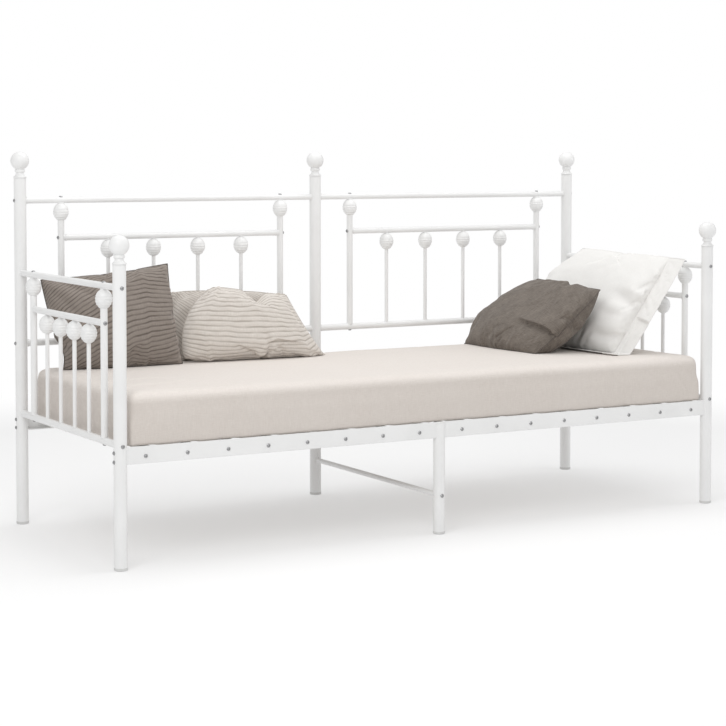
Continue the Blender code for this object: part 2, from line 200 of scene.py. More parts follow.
class Nodes:
    """A material's node tree, built with short calls."""

    def __init__(self, name, roughness, **settings):
        self.material = bpy.data.materials.new(name)
        self.material.use_nodes = True
        self.tree = self.material.node_tree
        self.shader = self.tree.nodes["Principled BSDF"]
        self.shader.inputs["Roughness"].default_value = roughness
        for socket, value in settings.items():
            self.shader.inputs[socket.replace("_", " ")].default_value = value

    def node(self, kind, inputs=None, **settings):
        made = self.tree.nodes.new("ShaderNode" + kind)
        for key, value in settings.items():
            setattr(made, key, value)
        for socket, value in (inputs or {}).items():
            self.plug(value, made.inputs[socket])
        return made

    def plug(self, value, socket):
        if isinstance(value, bpy.types.NodeSocket):
            self.tree.links.new(value, socket)
        else:
            socket.default_value = value

    def coords(self, uv=False):
        return self.node("TexCoord").outputs["UV" if uv else "Object"]

    def scaled(self, vector, scale):
        return self.node("Mapping", {"Vector": vector, "Scale": scale}).outputs["Vector"]

    def noise(self, vector, scale, detail=3.0, roughness=0.55):
        inputs = {"Vector": vector, "Scale": scale, "Detail": detail, "Roughness": roughness}
        return self.node("TexNoise", inputs).outputs["Fac"]

    def math(self, operation, a, b):
        return self.node("Math", {0: a, 1: b}, operation=operation).outputs["Value"]

    def blended(self, a, b, share=0.5):
        """That share of a and the rest of b."""
        return self.math("ADD", self.math("MULTIPLY", a, share), self.math("MULTIPLY", b, 1 - share))

    def yarns(self, place, *scales):
        """Crossing yarns: two noises, each stretched its own way by its scale."""
        return self.blended(*(self.noise(self.scaled(place, scale), 1.0, 2.0) for scale in scales))

    def weave(self, cloth, pitch):
        """Crossing yarns in cloth coordinates, each about pitch wide."""
        fine, long = 1 / pitch, 0.06 / pitch
        return self.yarns(cloth, (long, fine, 1.0), (fine, long, 1.0))

    def fit(self, value, low, high, to_low, to_high):
        inputs = {"Value": value, "From Min": low, "From Max": high, "To Min": to_low, "To Max": to_high}
        return self.node("MapRange", inputs).outputs["Result"]

    def colors(self, factor, *stops):
        ramp = self.node("ValToRGB", {"Fac": factor})
        band = ramp.color_ramp
        while len(band.elements) < len(stops):
            band.elements.new(0.5)
        for element, (place, color) in zip(band.elements, stops):
            element.position = place
            element.color = (*color, 1.0)
        return ramp.outputs["Color"]

    def mixed(self, factor, a, b, blend="MIX"):
        made = self.node("Mix", data_type="RGBA", blend_type=blend)
        for socket, value in ((0, factor), (6, a), (7, b)):
            if isinstance(value, tuple):
                value = (*value, 1.0)
            self.plug(value, made.inputs[socket])
        return made.outputs[2]

    def bump(self, *layers):
        """Bump from (height, strength, distance) layers, the first one deepest."""
        normal = None
        for height, strength, distance in layers:
            inputs = {"Height": height, "Strength": strength, "Distance": distance}
            if normal is not None:
                inputs["Normal"] = normal
            normal = self.node("Bump", inputs).outputs["Normal"]
        self.plug(normal, self.shader.inputs["Normal"])

    def tint(self, value, dark, light, low=0.3, high=0.7):
        """Base colour from dark where the value is low to light where it is high."""
        self.plug(self.colors(value, (low, dark), (high, light)), self.shader.inputs["Base Color"])

    def paint(self, color):
        self.plug(color, self.shader.inputs["Base Color"])

    def rough(self, value, at_low, at_high):
        self.plug(self.fit(value, 0.3, 0.7, at_low, at_high), self.shader.inputs["Roughness"])


def powder_coat():
    """White powder coat: a very fine orange peel under a soft gloss."""
    n = Nodes("white_powder_coat", 0.36, Specular_IOR_Level=0.5)
    place = n.coords()
    n.tint(n.noise(place, 7.0, 2.0), (0.775, 0.775, 0.770), (0.815, 0.815, 0.812))
    n.rough(n.noise(place, 60.0), 0.31, 0.42)
    n.bump((n.noise(place, 750.0, 2.0, 0.4), 0.16, 0.0004), (n.noise(place, 120.0, 1.0), 0.05, 0.001))
    return n.material


def slat_coat():
    """White coat on rolled steel: faint streaks across the bed."""
    n = Nodes("slat_coat", 0.45)
    place = n.coords()
    streak = n.noise(n.scaled(place, (90.0, 3.0, 40.0)), 1.0)
    n.tint(streak, (0.70, 0.70, 0.69), (0.78, 0.78, 0.77))
    n.rough(streak, 0.38, 0.52)
    n.bump((n.noise(place, 500.0, 2.0), 0.15, 0.0004))
    return n.material


def bolt_steel():
    """Zinc plated steel with patches and a little wear."""
    n = Nodes("bolt_steel", 0.34, Metallic=1.0)
    place = n.coords()
    n.tint(n.noise(place, 420.0), (0.30, 0.30, 0.31), (0.46, 0.46, 0.46))
    n.rough(n.noise(place, 900.0), 0.26, 0.46)
    n.bump((n.noise(place, 1400.0, 1.0), 0.15, 0.0002))
    return n.material


def foot_plastic():
    """Pale grey moulded plastic."""
    n = Nodes("foot_plastic", 0.55)
    place = n.coords()
    n.tint(n.noise(place, 30.0), (0.60, 0.60, 0.59), (0.67, 0.67, 0.66))
    n.rough(n.noise(place, 200.0), 0.48, 0.62)
    n.bump((n.noise(place, 900.0, 2.0), 0.2, 0.0003))
    return n.material


MATTRESS_SIDE_SHADE_TOP = 0.458  # how high the painted shade on the mattress's sides reaches


def mattress_linen():
    """Plain woven cover: fine crossing yarns with slubs, on a warm pale ground, with painted shade darkening
    its sides.
    """
    n = Nodes("mattress_linen", 0.88, Sheen_Weight=0.12, Sheen_Roughness=0.5)
    place = n.coords()
    weave = n.yarns(place, (60.0, 900.0, 900.0), (900.0, 60.0, 60.0))
    cloud = n.noise(place, 3.5)
    yarn = n.colors(weave, (0.32, (0.655, 0.600, 0.555)), (0.68, (0.765, 0.715, 0.672)))
    top = n.mixed(n.fit(cloud, 0.3, 0.7, 0.0, 0.35), yarn, (0.745, 0.700, 0.660))
    # Painted shade: below the top's rounded edge, the cloth on the sides is multiplied darker than the top, as
    # if less lit.
    high = n.node("SeparateXYZ", {"Vector": place}).outputs["Z"]
    side_shade = n.fit(high, MATTRESS_SIDE_SHADE_TOP - 0.008, MATTRESS_SIDE_SHADE_TOP + 0.010, 1.0, 0.0)
    n.paint(n.mixed(side_shade, top, n.mixed(1.0, top, (0.85, 0.84, 0.83), "MULTIPLY")))
    n.rough(weave, 0.93, 0.80)
    n.bump((n.noise(place, 14.0), 0.10, 0.004), (weave, 0.30, 0.0006))
    return n.material


def ribbed_cloth(name, ridge, groove, fleck, plain_from=1.0):
    """Corded cloth: ribs of uneven yarn, with painted shade darkening the grooves between them in patches,
    plain beyond plain_from along U.
    """
    n = Nodes(name, 0.92, Sheen_Weight=0.18, Sheen_Roughness=0.5)
    cloth = n.coords(uv=True)
    bands = {"Vector": cloth, "Scale": TAU / (20 * RIB_PITCH), "Distortion": 0.25, "Detail": 1.0}
    rib = n.node("TexWave", bands, bands_direction="Y").outputs["Fac"]
    # Painted shade: the grooves between the ribs are tinted toward the darker groove colour, more in some
    # patches than others.
    groove_shade = n.fit(rib, 0.6, 1.0, 0.0, 1.0)
    groove_shade_patches = n.fit(n.noise(n.scaled(cloth, (16.0, 60.0, 1.0)), 1.0, 2.0), 0.35, 0.6, 0.45, 1.0)
    across = n.node("SeparateXYZ", {"Vector": cloth}).outputs["X"]
    ribbed = n.fit(across, plain_from, plain_from + 0.006, 1.0, 0.15)
    groove_shade = n.math("MULTIPLY", n.math("MULTIPLY", groove_shade, groove_shade_patches), ribbed)
    weave = n.weave(cloth, 0.0011)
    yarn = n.mixed(n.fit(weave, 0.36, 0.64, 0.0, 1.0), fleck, ridge)
    n.paint(n.mixed(groove_shade, yarn, groove))
    n.rough(weave, 0.97, 0.84)
    n.bump((n.noise(cloth, 60.0), 0.12, 0.002), (weave, 0.45, 0.0007))
    return n.material


def woven_cloth(name, light, dark, pitch, bump=0.35):
    """Plain woven cloth with light and dark yarns crossing."""
    n = Nodes(name, 0.9, Sheen_Weight=0.1, Sheen_Roughness=0.45)
    cloth = n.coords(uv=True)
    weave = n.weave(cloth, pitch)
    cloud = n.noise(cloth, 22.0)
    n.tint(n.blended(weave, cloud, 0.8), dark, light, 0.34, 0.66)
    n.rough(weave, 0.96, 0.82)
    n.bump((cloud, 0.10, 0.003), (weave, bump, 0.0007))
    return n.material


def seam_thread(name, light, dark):
    """Folded edge of a cover, where its sheets are sewn together."""
    n = Nodes(name, 0.93, Sheen_Weight=0.1)
    twist = n.noise(n.coords(), 900.0, 2.0)
    n.tint(twist, dark, light, 0.35, 0.65)
    n.rough(twist, 0.97, 0.85)
    n.bump((twist, 0.4, 0.0006))
    return n.material


RIB_PITCH = 0.012
TAUPE_PLAIN_FROM = 0.183  # where the dark ribbed cloth turns plain, from the middle of its pillow
# Ridge, groove and fleck colours of each ribbed cloth; the darker groove colour is painted shade in the
# grooves.
SAND = (0.71, 0.67, 0.625), (0.41, 0.37, 0.33), (0.61, 0.565, 0.52)
TAUPE = (0.290, 0.250, 0.220), (0.105, 0.086, 0.072), (0.215, 0.184, 0.160)
MATERIALS = {
    "white_powder_coat": powder_coat(),
    "slat_coat": slat_coat(),
    "bolt_steel": bolt_steel(),
    "foot_plastic": foot_plastic(),
    "mattress_linen": mattress_linen(),
    "sand_rib": ribbed_cloth("sand_rib", *SAND),
    "taupe_rib": ribbed_cloth("taupe_rib", *TAUPE, TAUPE_PLAIN_FROM),
    "white_cotton": woven_cloth("white_cotton", (0.83, 0.82, 0.80), (0.75, 0.74, 0.72), 0.0006, 0.2),
    "grey_linen": woven_cloth("grey_linen", (0.235, 0.202, 0.172), (0.070, 0.057, 0.047), 0.0012),
}
SEAMS = {
    slot: seam_thread(f"{slot}_edge", light, dark)
    for slot, light, dark in (
        ("sand_rib", (0.60, 0.56, 0.51), (0.44, 0.40, 0.36)),
        ("taupe_rib", (0.125, 0.105, 0.090), (0.065, 0.054, 0.046)),
        ("white_cotton", (0.84, 0.83, 0.81), (0.74, 0.73, 0.71)),
        ("grey_linen", (0.150, 0.128, 0.112), (0.070, 0.058, 0.050)),
    )
}


def metal_piece(name, shape, replaces=(), slot="white_powder_coat"):
    return add_piece(name, shape, MATERIALS[slot], replaces=replaces)


# ---- tubes, balls and welds


def axis_of(node):
    """The middle of a CAD node and its lowest and highest corners."""
    low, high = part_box(node)
    return (low + high) / 2, low, high


def rounded(corner, before, after, radius, steps=4):
    """Points of an arc that rounds a corner of an outline."""
    corner, before, after = (Vector(p) for p in (corner, before, after))
    start = corner + (before - corner).normalized() * radius
    end = corner + (after - corner).normalized() * radius
    points = []
    for k in range(steps + 1):
        t = k / steps
        points.append((1 - t) ** 2 * start + 2 * t * (1 - t) * corner + t**2 * end)
    return [tuple(p) for p in points]


def ball_outline(centre, neck):
    """Cast ball from its top neck down: a smooth cap, then rounded ribs with grooves between them."""
    start = math.acos(neck / BALL_RADIUS)
    points = []
    for angle in np.linspace(start, -start, 45).tolist():
        height = BALL_HALF_HEIGHT * math.sin(angle)
        groove = sum(math.exp(-(((height - level) / 0.0013) ** 2)) for level in BALL_GROOVES)
        points.append((BALL_RADIUS * math.cos(angle) - GROOVE_DEPTH * min(1.0, groove), centre + height))
    return points


def weld(place, direction, radius, meets, bead=WELD_BEAD):
    """A thin weld bead round a tube where it meets a rounder one of radius meets."""
    ring, ripple = [], []
    for angle in np.arange(28) * TAU / 28:
        x, y = radius * math.cos(angle), radius * math.sin(angle)
        ring.append((x, y, math.sqrt(max(0.0, meets**2 - y**2)) - meets))
        ripple.append(bead * (1.0 + 0.18 * math.sin(9 * angle)))
    return placed(sweep(ring, ripple), pointing(place, direction))


def arc(radius, height, half_width, half_height, start, stop, steps):
    """Outline points of an elliptic arc about (radius, height), from one angle to another in degrees."""
    angles = [math.radians(start + (stop - start) * k / steps) for k in range(steps + 1)]
    return [(radius + half_width * math.cos(t), height + half_height * math.sin(t)) for t in angles]


def finial_outline():
    """Ball on a bead ring over a bell-shaped collar, from the top down."""
    ball = arc(0.0, FINIAL_HEIGHT - FINIAL_BALL_RADIUS, FINIAL_BALL_RADIUS, FINIAL_BALL_RADIUS, 90, -62, 24)
    bead_ring = arc(0.0125, 0.0215, 0.0032, 0.0048, 70, -70, 8)
    bell = [(0.0118 + 0.0077 * (k / 10) ** 2.2, 0.0158 - 0.0118 * (k / 10)) for k in range(11)]
    base = [(0.0199, 0.0030), (0.0200, 0.0022), (0.0198, 0.0004), (0.0180, 0.0), (0.0, 0.0)]
    return [(0.0, FINIAL_HEIGHT), *ball[1:], *bead_ring, *bell, *base]


def make_posts():
    """Each post with its foot cap and its ball finial."""
    for row, places in (("back", ("left", "centre", "right")), ("front", ("left", "right"))):
        for place in places:
            node = f"{row}_post_{place}"
            middle, _, high = axis_of(node)
            foot = Vector((middle.x, middle.y, 0.0))
            wall = [(0.0, 0.004), (POST_RADIUS - 0.0015, 0.004), (POST_RADIUS, 0.0046)]
            wall += [(POST_RADIUS, high.z - 0.0006), (POST_RADIUS - 0.0006, high.z), (0.0, high.z)]
            metal_piece(f"{node}_tube", turned(wall, foot), [node])
            foot_cap(f"{node}_foot", foot, POST_RADIUS)
            finial = f"finial_{row}_{place}"
            seat = Vector((middle.x, middle.y, axis_of(finial)[2].z - FINIAL_HEIGHT))
            metal_piece(f"{finial}_ball", turned(finial_outline(), seat), [finial])


def foot_cap(name, foot, radius):
    """Plastic cap on the end of a tube, with a rounded rim on the floor."""
    skin = radius + 0.0006
    outline = [(0.0, 0.0), (radius - 0.003, 0.0), (radius - 0.0008, 0.0006), (skin, 0.0022)]
    outline += [(skin, 0.0078), (radius + 0.0001, 0.0084), (radius - 0.0012, 0.0084)]
    metal_piece(name, turned(outline, foot), slot="foot_plastic")


def make_centre_leg():
    """A short leg with a foot cap, a domed cap with a thin rim, and the crossbar behind it."""
    middle, low, high = axis_of("front_centre_leg")
    radius, top = (high.x - low.x) / 2, high.z
    foot = Vector((middle.x, middle.y, 0.0))
    wall = [(0.0, 0.004), (radius - 0.0015, 0.004), (radius, 0.0046), (radius, top), (0.0, top)]
    metal_piece("front_centre_leg_tube", turned(wall, foot), ["front_centre_leg"])
    foot_cap("front_centre_leg_foot", foot, radius)
    rise = axis_of("centre_leg_cap")[2].z - top
    dome = [(radius * k / 8, top + rise * math.sqrt(1 - (0.96 * k / 8) ** 4)) for k in range(9)]
    dome += [(radius + 0.0004, top + 0.0006), (radius + 0.0004, top + 0.0002), (0.0, top + 0.0002)]
    metal_piece("centre_leg_cap_dome", turned(dome, foot), ["centre_leg_cap"])
    bar, bar_low, bar_high = axis_of("crossbar")
    start = Vector((bar.x, bar_low.y - INTO_POST, bar.z))
    end = Vector((bar.x, bar_high.y + INTO_POST, bar.z))
    bead = weld((bar.x, bar_high.y, bar.z), (0, 1, 0), CROSSBAR_RADIUS, POST_RADIUS)
    metal_piece("crossbar_tube", joined(rod(start, end, CROSSBAR_RADIUS), bead), ["crossbar"])


def welded_tube(middle, along, reach, radius, meets, into):
    """A tube with a bead at each end, where it runs that far into a post or stile of radius meets."""
    ends = [middle + along * (sign * (reach + into)) for sign in (-1, 1)]
    beads = [weld(middle + along * (sign * reach), along * sign, radius, meets) for sign in (-1, 1)]
    return joined(rod(*ends, radius), *beads)


def balled_bar(place, low, top, ball, radius, sides, bead):
    """An upright bar with a cast ball, welded on the bottom rail. ball is the height of the ball's middle."""
    outline = [(0.0, top), (radius, top), *ball_outline(ball, radius)]
    outline += [(radius, low - INTO_TUBE), (0.0, low - INTO_TUBE)]
    foot = weld((place.x, place.y, low), (0, 0, 1), radius, BOTTOM_RAIL_RADIUS, bead)
    return joined(turned(outline, Vector((place.x, place.y, 0.0)), sides), foot)


PANELS = (  # name, top rail, direction, spindle pitch and how far the spindles stand off its middle
    ("back_left", "top_rail", Vector((1, 0, 0)), BACK_SPINDLE_PITCH, BACK_SPINDLE_SHIFT),
    ("back_right", "top_rail", Vector((1, 0, 0)), BACK_SPINDLE_PITCH, -BACK_SPINDLE_SHIFT),
    ("left_end", "arm_rail", Vector((0, 1, 0)), END_SPINDLE_PITCH, 0.0),
    ("right_end", "arm_rail", Vector((0, 1, 0)), END_SPINDLE_PITCH, 0.0),
)


def make_panel(name, top_name, along, pitch, shift):
    """The rails, stiles and grille of one panel, placed from its CAD nodes."""
    for part, radius in ((top_name, RAIL_RADIUS), ("bottom_rail", BOTTOM_RAIL_RADIUS)):
        node = f"{name}_{part}"
        middle, low, high = axis_of(node)
        reach = (high - low).dot(along) / 2
        metal_piece(f"{node}_tube", welded_tube(middle, along, reach, radius, POST_RADIUS, INTO_POST), [node])
    for number in (1, 2):
        node = f"{name}_stile_{number}"
        middle, low, high = axis_of(node)
        top, ball = high.z + INTO_TUBE, high.z - BALL_HALF_HEIGHT + 0.001
        stile = balled_bar(middle, low.z, top, ball, STILE_RADIUS, TUBE_SIDES, WELD_BEAD)
        metal_piece(f"{node}_tube", stile, [node])
    node = f"{name}_grille"
    middle, low, high = axis_of(node)
    level = high.z - RAIL_RADIUS
    reach = (high - low).dot(along) / 2
    centre = Vector((middle.x, middle.y, level))
    shapes = [welded_tube(centre, along, reach, RAIL_RADIUS, STILE_RADIUS, INTO_STILE)]
    ball = level - RAIL_RADIUS - BALL_HALF_HEIGHT
    for k in (-1.5, -0.5, 0.5, 1.5):
        place = middle + along * (k * pitch + shift)
        shapes.append(balled_bar(place, low.z, level, ball, SPINDLE_RADIUS, SPINDLE_SIDES, THIN_BEAD))
    metal_piece(f"{node}_tubes", joined(*shapes), [node])


def make_side_rails():
    """Pressed angle rails with rounded edges. Their ends run into the posts."""
    for row, face in (("front", -1), ("back", 1)):
        for half, side in (("left", -1), ("right", 1)):
            node = f"side_rail_{row}_{half}"
            _, low, high = axis_of(node)
            depth, height, wall = high.y - low.y, high.z - low.z, SIDE_RAIL_WALL
            corners = [(0, 0), (depth, 0), (depth, wall), (wall, wall), (wall, height), (0, height)]
            outline = []
            for i, radius in enumerate((0.0022, 0.0009, 0.0009, 0.0012, 0.0010, 0.0010)):
                outline += rounded(corners[i], corners[i - 1], corners[(i + 1) % 6], radius)
            outer = low.y if face < 0 else high.y
            verts = []
            for x in SIDE_RAIL_REACH:
                verts += [Vector((side * x, outer - face * inward, low.z + up)) for inward, up in outline]
            count = len(outline)
            faces = [(k, (k + 1) % count, count + (k + 1) % count, count + k) for k in range(count)]
            faces += [tuple(range(count))[::-1], tuple(range(count, 2 * count))]
            metal_piece(f"{node}_angle", (verts, faces), [node])


# ---- bolts


def bolt_shape():
    """Button head with a rounded dome and a hexagon socket, its seat at z 0."""
    rim, mouth = 0.0006, 0.0026
    dome = [(0.0, -0.001), (BOLT_RADIUS, -0.001), (BOLT_RADIUS, rim)]
    for k in range(1, 7):
        rise = (BOLT_HEIGHT - rim) * math.sin(k / 6 * TAU / 4)
        dome.append((BOLT_RADIUS - (BOLT_RADIUS - mouth) * (k / 6), rim + rise))
    socket = [(0.0024, BOLT_HEIGHT - 0.0002), (0.0022, 0.0012), (0.0, 0.0010)]
    verts, faces = lathe(dome + socket, 24)
    for v in verts:
        reach = math.hypot(v.x, v.y)
        if 0.0 < reach < 0.0025:
            turn = (math.atan2(v.y, v.x) % (TAU / 6)) - TAU / 12
            v.xy *= math.cos(TAU / 12) / math.cos(turn)
    return verts, faces


def bolt_places():
    """Where each bolt's seat is, and where its head points, for each group of bolts."""
    arm, low_rail = (axis_of(f"left_end_{rail}")[0].z for rail in ("arm_rail", "bottom_rail"))
    back_rails = [axis_of(f"back_left_{rail}")[0].z for rail in ("top_rail", "bottom_rail")]
    places = {"rail": [], "post": [], "panel": []}
    for row, face in (("front", -1), ("back", 1)):
        _, low, high = axis_of(f"side_rail_{row}_left")
        y = low.y if face < 0 else high.y
        level = low.z + 0.43 * (high.z - low.z)
        for side in (-1, 1):
            for k in range(SLATS_PER_HALF):
                places["rail"].append(((side * (FIRST_SLAT + k * SLAT_PITCH), y, level), (0, face, 0)))
        for place, side in (("left", -1), ("right", 1)):
            post = axis_of(f"{row}_post_{place}")[0]
            on_side, on_face = post.x + side * POST_RADIUS, post.y + face * POST_RADIUS
            places["post"] += [((on_side, post.y, low.z + up), (side, 0, 0)) for up in SIDE_RAIL_BOLTS]
            places["post"] += [((post.x, on_face, z), (0, face, 0)) for z in (arm, low_rail)]
            if face > 0:
                places["post"] += [((on_side, post.y, z), (side, 0, 0)) for z in back_rails]
    leg, leg_low, _ = axis_of("front_centre_leg")
    bar = axis_of("crossbar")[0].z
    behind = axis_of("back_post_centre")[0].y + POST_RADIUS
    places["post"].append(((leg.x, leg_low.y, bar), (0, -1, 0)))
    places["post"] += [((0.0, behind, z), (0, 1, 0)) for z in (bar, *back_rails)]
    for name, top_name, along, *_ in PANELS:
        rail_top = axis_of(f"{name}_{top_name}")[0].z + RAIL_RADIUS
        rail_under = axis_of(f"{name}_bottom_rail")[0].z - BOTTOM_RAIL_RADIUS
        level = axis_of(f"{name}_grille")[2].z - RAIL_RADIUS
        for number, outward in ((1, -1), (2, 1)):
            stile = axis_of(f"{name}_stile_{number}")[0]
            side = Vector((stile.x, stile.y, level)) + along * outward * STILE_RADIUS
            places["panel"].append(((stile.x, stile.y, rail_top), (0, 0, 1)))
            places["panel"].append(((stile.x, stile.y, rail_under), (0, 0, -1)))
            places["panel"].append((side, along * outward))
    return places


def make_bolts():
    """A bolt at each place, each one turned a little further than the last."""
    for group, places in bolt_places().items():
        for number, (place, direction) in enumerate(places, 1):
            spin = Matrix.Rotation(0.7 * number, 4, "Z")
            shape = placed(bolt_shape(), pointing(place, direction) @ spin)
            metal_piece(f"bolt_{group}_{number:02d}", shape, slot="bolt_steel")


def finish_slats():
    """The slats keep their CAD shape, with softened edges."""
    for name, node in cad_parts.items():
        if name.startswith("slat_"):
            node.data.materials.clear()
            node.data.materials.append(MATERIALS["slat_coat"])
            edge = node.modifiers.new("Soft edges", "BEVEL")
            edge.width = 0.0005
            edge.segments = 2


# ---- soft goods


SQUARENESS, EDGE_FULLNESS = 2.6, 0.58
COVER_CELLS = 40, 30  # cells of a pillow's sheets in the simulation
START_DEPTH = 0.004  # how far each sheet stands out before it is blown up
COVER_PRESSURE, COVER_BENDING, COVER_FRAMES = 5.0, 0.4, 26
EDGE_RIPPLE = 0.15  # how much of the edges' ripples is left


def cloth_inflated(verts, faces, pressure, frames, bending, stretch=15.0, held=()):
    """Where the vertices of a closed cloth go when it is blown up, with no gravity. held ones stay."""
    work = added("cloth_work", mesh_of("cloth_work", verts, faces))
    cloth = work.modifiers.new("Cloth", "CLOTH")
    settings = cloth.settings
    settings.quality = 6
    settings.mass = 0.25
    settings.tension_stiffness = settings.compression_stiffness = stretch
    settings.shear_stiffness = stretch / 3
    settings.bending_stiffness = bending
    settings.air_damping = 4.0
    settings.use_pressure = True
    settings.uniform_pressure_force = pressure
    settings.effector_weights.gravity = 0.0
    cloth.collision_settings.use_collision = False
    if len(held):
        group = work.vertex_groups.new(name="held")
        group.add([int(i) for i in held], 1.0, "REPLACE")
        settings.vertex_group_mass = "held"
    cloth.point_cache.frame_start, cloth.point_cache.frame_end = 1, frames
    for number in range(1, frames + 1):
        bpy.context.scene.frame_set(number)
    graph = bpy.context.evaluated_depsgraph_get()
    shaped = work.evaluated_get(graph).data
    moved = np.empty(len(shaped.vertices) * 3, np.float32)
    shaped.vertices.foreach_get("co", moved)
    bpy.data.objects.remove(work, do_unlink=True)
    bpy.context.scene.frame_set(1)
    return moved.reshape(-1, 3).astype(float)


def sheet_numbers(columns, rows):
    """Vertex numbers of two sheets of a grid that share their edge, and how many vertices they need."""
    front = np.arange((columns + 1) * (rows + 1)).reshape(columns + 1, rows + 1)
    back = front.copy()
    inner = (columns - 1) * (rows - 1)
    back[1:-1, 1:-1] = front.size + np.arange(inner).reshape(columns - 1, rows - 1)
    return front, back, front.size + inner


def grid_faces(numbers, flip=False):
    """The quads of a grid of vertex numbers."""
    corners = [numbers[:-1, :-1], numbers[1:, :-1], numbers[1:, 1:], numbers[:-1, 1:]]
    if flip:
        corners.reverse()
    return np.stack(corners, -1).reshape(-1, 4)


def fullness(a, b):
    """Depth of a plump pillow, from 0 at its edges to 1 in its middle."""
    across, up = (1 - np.abs(place) ** SQUARENESS for place in (a, b))
    return np.clip(across * up, 0, None) ** EDGE_FULLNESS


def beyond_arch(inset):
    """What is left of a row of insets when its best-fitting arch is taken away."""
    arch = 1 - np.linspace(-1, 1, len(inset)) ** 2
    return inset - arch * (inset @ arch) / (arch @ arch)


def stuffed(width, height, calm):
    """Front and back sheets of a stuffed cover as (a, b, depth) grids: corners at -1 and 1, deepest point 1.

    calm is the share of the depth that comes from a plain plump shape and not from the simulation.
    """
    a, b = np.meshgrid(*(np.linspace(-1, 1, cells + 1) for cells in COVER_CELLS), indexing="ij")
    plump = fullness(a, b)
    front, back, count = sheet_numbers(*COVER_CELLS)
    verts = np.zeros((count, 3))
    for numbers, face in ((back, -1), (front, 1)):
        verts[numbers] = np.stack([a * width / 2, b * height / 2, face * START_DEPTH * plump], -1)
    faces = np.concatenate([grid_faces(front), grid_faces(back, flip=True)])
    moved = cloth_inflated(verts, faces, COVER_PRESSURE, COVER_FRAMES, COVER_BENDING)
    ends = front[[0, -1, 0, -1], [0, 0, -1, -1]]
    moved -= moved[ends].mean(0)
    scale = (*np.abs(moved[ends]).mean(0)[:2], 1.0)
    sheets = [moved[front] / scale, moved[back] / scale]
    # The edges curve in as the cover fills. Spread the sheets so that only some ripples are left of that.
    edges = sheets[0].copy()
    for sheet, face in zip(sheets, (1, -1)):
        sheet[..., 2] *= (1 - calm) / np.abs(sheet[..., 2]).max()
        sheet[..., 2] += calm * face * plump
        for end, last in ((1, -1), (-1, 0)):
            inset_a = end - edges[last, :, 0]
            inset_b = end - edges[:, last, 1]
            inset_a -= EDGE_RIPPLE * beyond_arch(inset_a)
            if end > 0:
                inset_b -= EDGE_RIPPLE * beyond_arch(inset_b)
            sheet[..., 0] += inset_a * ((1 + end * a) / 2) ** 2
            sheet[..., 1] += inset_b[:, None] * ((1 + end * b) / 2) ** 2
    return sheets


def finer(grid, *factors):
    """The grid with factor times as many cells along each axis, on smooth curves through its points."""
    for axis, factor in enumerate(factors):
        grid = np.moveaxis(grid, axis, 0)
        cells = len(grid) - 1
        ends = 2 * grid[:1] - grid[1:2], 2 * grid[-1:] - grid[-2:-1]
        longer = np.concatenate([ends[0], grid, ends[1]])
        t = np.arange(cells * factor + 1) / factor
        i = np.minimum(t.astype(int), cells - 1)
        f = (t - i).reshape(-1, *[1] * (grid.ndim - 1))
        p, q, r, s = (longer[i + k] for k in range(4))
        grid = q + 0.5 * f * (r - p + f * (2 * p - 5 * q + 4 * r - s + f * (3 * (q - r) + s - p)))
        grid = np.moveaxis(grid, 0, axis)
    return grid


HILL_WAVES = 14


def hills(x, y, seed, wavelength):
    """Gentle unevenness from crossing waves of about one wavelength, between about -1 and 1."""
    draw = np.random.default_rng(seed)
    total = np.zeros_like(x)
    for _ in range(HILL_WAVES):
        angle, phase = draw.uniform(0, TAU, 2)
        step = wavelength * draw.uniform(0.6, 1.6)
        total += np.sin(TAU * (x * math.cos(angle) + y * math.sin(angle)) / step + phase)
    return total / math.sqrt(2 * HILL_WAVES)


def smoothstep(low, high, value):
    t = np.clip((value - low) / (high - low), 0, 1)
    return t * t * (3 - 2 * t)


def beside(x, y, points):
    """Distances from a line of points, positive on its left, and places along it from 0 to 1."""
    points = [np.array(p, float) for p in points]
    lengths = [np.linalg.norm(q - p) for p, q in zip(points, points[1:])]
    best, along, done = np.full_like(x, 9.0), np.zeros_like(x), 0.0
    for p, q, length in zip(points, points[1:], lengths):
        dx, dy = q - p
        t = np.clip(((x - p[0]) * dx + (y - p[1]) * dy) / length**2, 0, 1)
        off_x, off_y = x - p[0] - t * dx, y - p[1] - t * dy
        away = np.hypot(off_x, off_y)
        nearer = away < np.abs(best)
        best = np.where(nearer, np.copysign(away, dx * off_y - dy * off_x), best)
        along = np.where(nearer, (done + t * length) / sum(lengths), along)
        done += length
    return best, along


def crease(x, y, points, depth, width):
    """A fold along a line of points: a valley that fades at its ends, with a raised shoulder on each side."""
    away, along = beside(x, y, points)
    away = np.abs(away) / width
    valley, shoulders = np.exp(-(away**2)), 0.35 * np.exp(-(((away - 2.1) / 1.3) ** 2))
    return depth * (shoulders - valley) * np.sin(math.pi * (0.08 + 0.84 * along)) ** 0.8


def tuck(x, y, points, depth, width):
    """A fold whose upper side hangs over its lower side, along a line of points from left to right."""
    away, along = beside(x, y, points)
    height = np.tanh(away / (0.16 * width)) * np.exp(-np.abs(away) / (1.8 * width))
    return depth * height * smoothstep(0.0, 0.25, along) * smoothstep(0.0, 0.2, 1.15 - along)


def surface_normals(points):
    """Unit normals of a grid of points."""
    du, dv = np.gradient(points, axis=0), np.gradient(points, axis=1)
    normal = np.cross(du, dv)
    return normal / np.maximum(np.linalg.norm(normal, axis=-1, keepdims=True), 1e-12)


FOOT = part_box("mattress")[1].z + 0.0065  # height of the pillows' bottom edges before they settle

